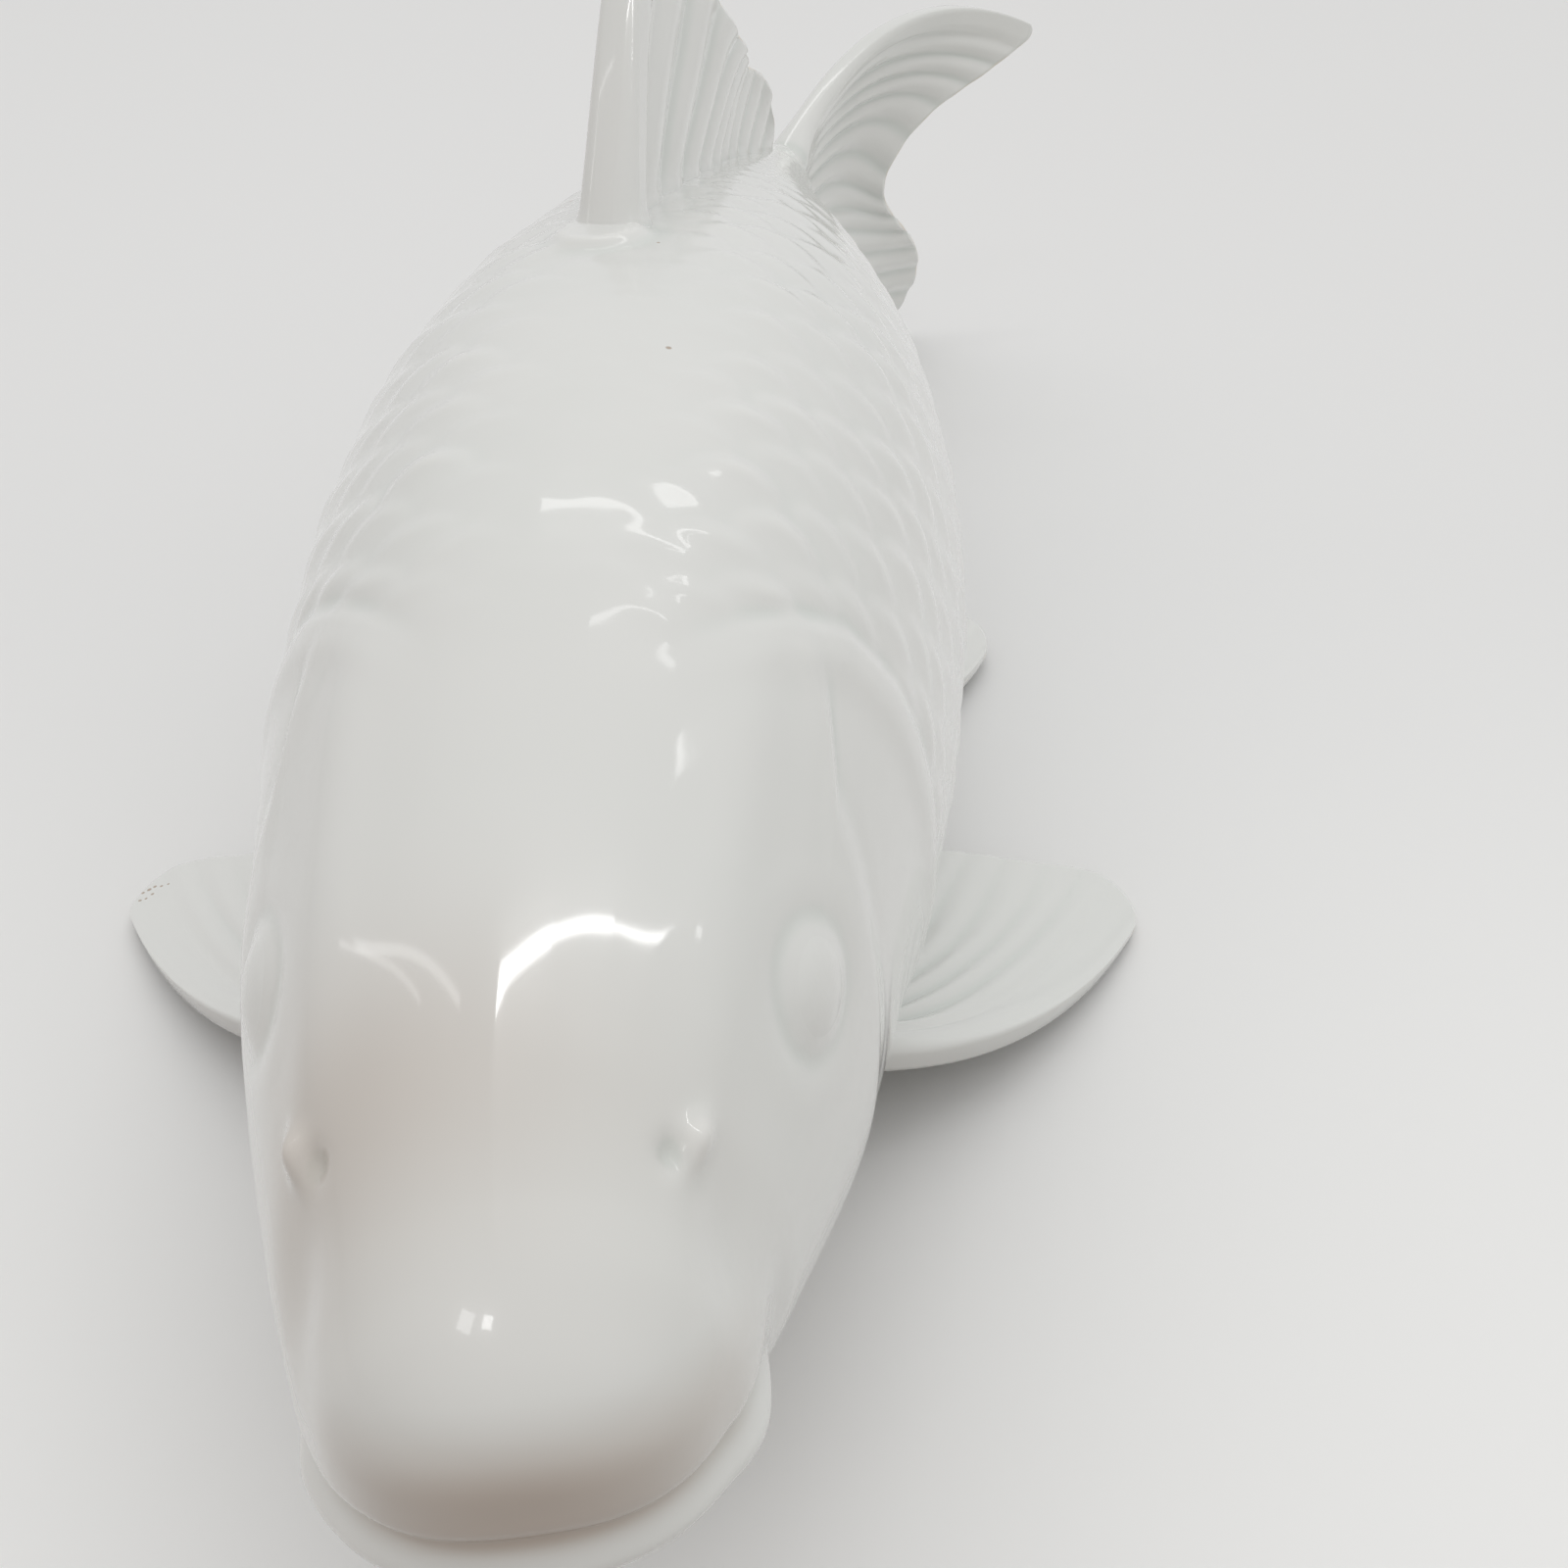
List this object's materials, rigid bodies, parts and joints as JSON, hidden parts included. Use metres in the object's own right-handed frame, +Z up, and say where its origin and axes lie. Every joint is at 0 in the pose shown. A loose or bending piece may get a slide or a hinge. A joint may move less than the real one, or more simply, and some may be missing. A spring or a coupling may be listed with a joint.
{
  "type": "fish figurine",
  "caption": "Glazed white porcelain carp figurine resting on its belly, with spread ribbed fins, a swept tail, raised gill covers, a parted mouth and domed eyes",
  "frame": {"origin": "middle of the small ground flat under the belly, on the surface the figurine rests on", "axes": "+Z up, +Y from the snout towards the tail, +X towards the side that the tail sweeps to"},
  "size_m": [0.1355, 0.3106, 0.117],
  "materials": {
    "glaze": "clear gloss glaze over white porcelain"
  },
  "bodies": {
    "root": {"body_shell": "glaze", "dorsal_fin": "glaze", "tail_fin": "glaze", "anal_fin": "glaze", "pectoral_fin_right": "glaze", "pelvic_fin_right": "glaze", "pectoral_fin_left": "glaze", "pelvic_fin_left": "glaze", "eye_right": "glaze", "eye_left": "glaze"}
  },
  "joints": []
}
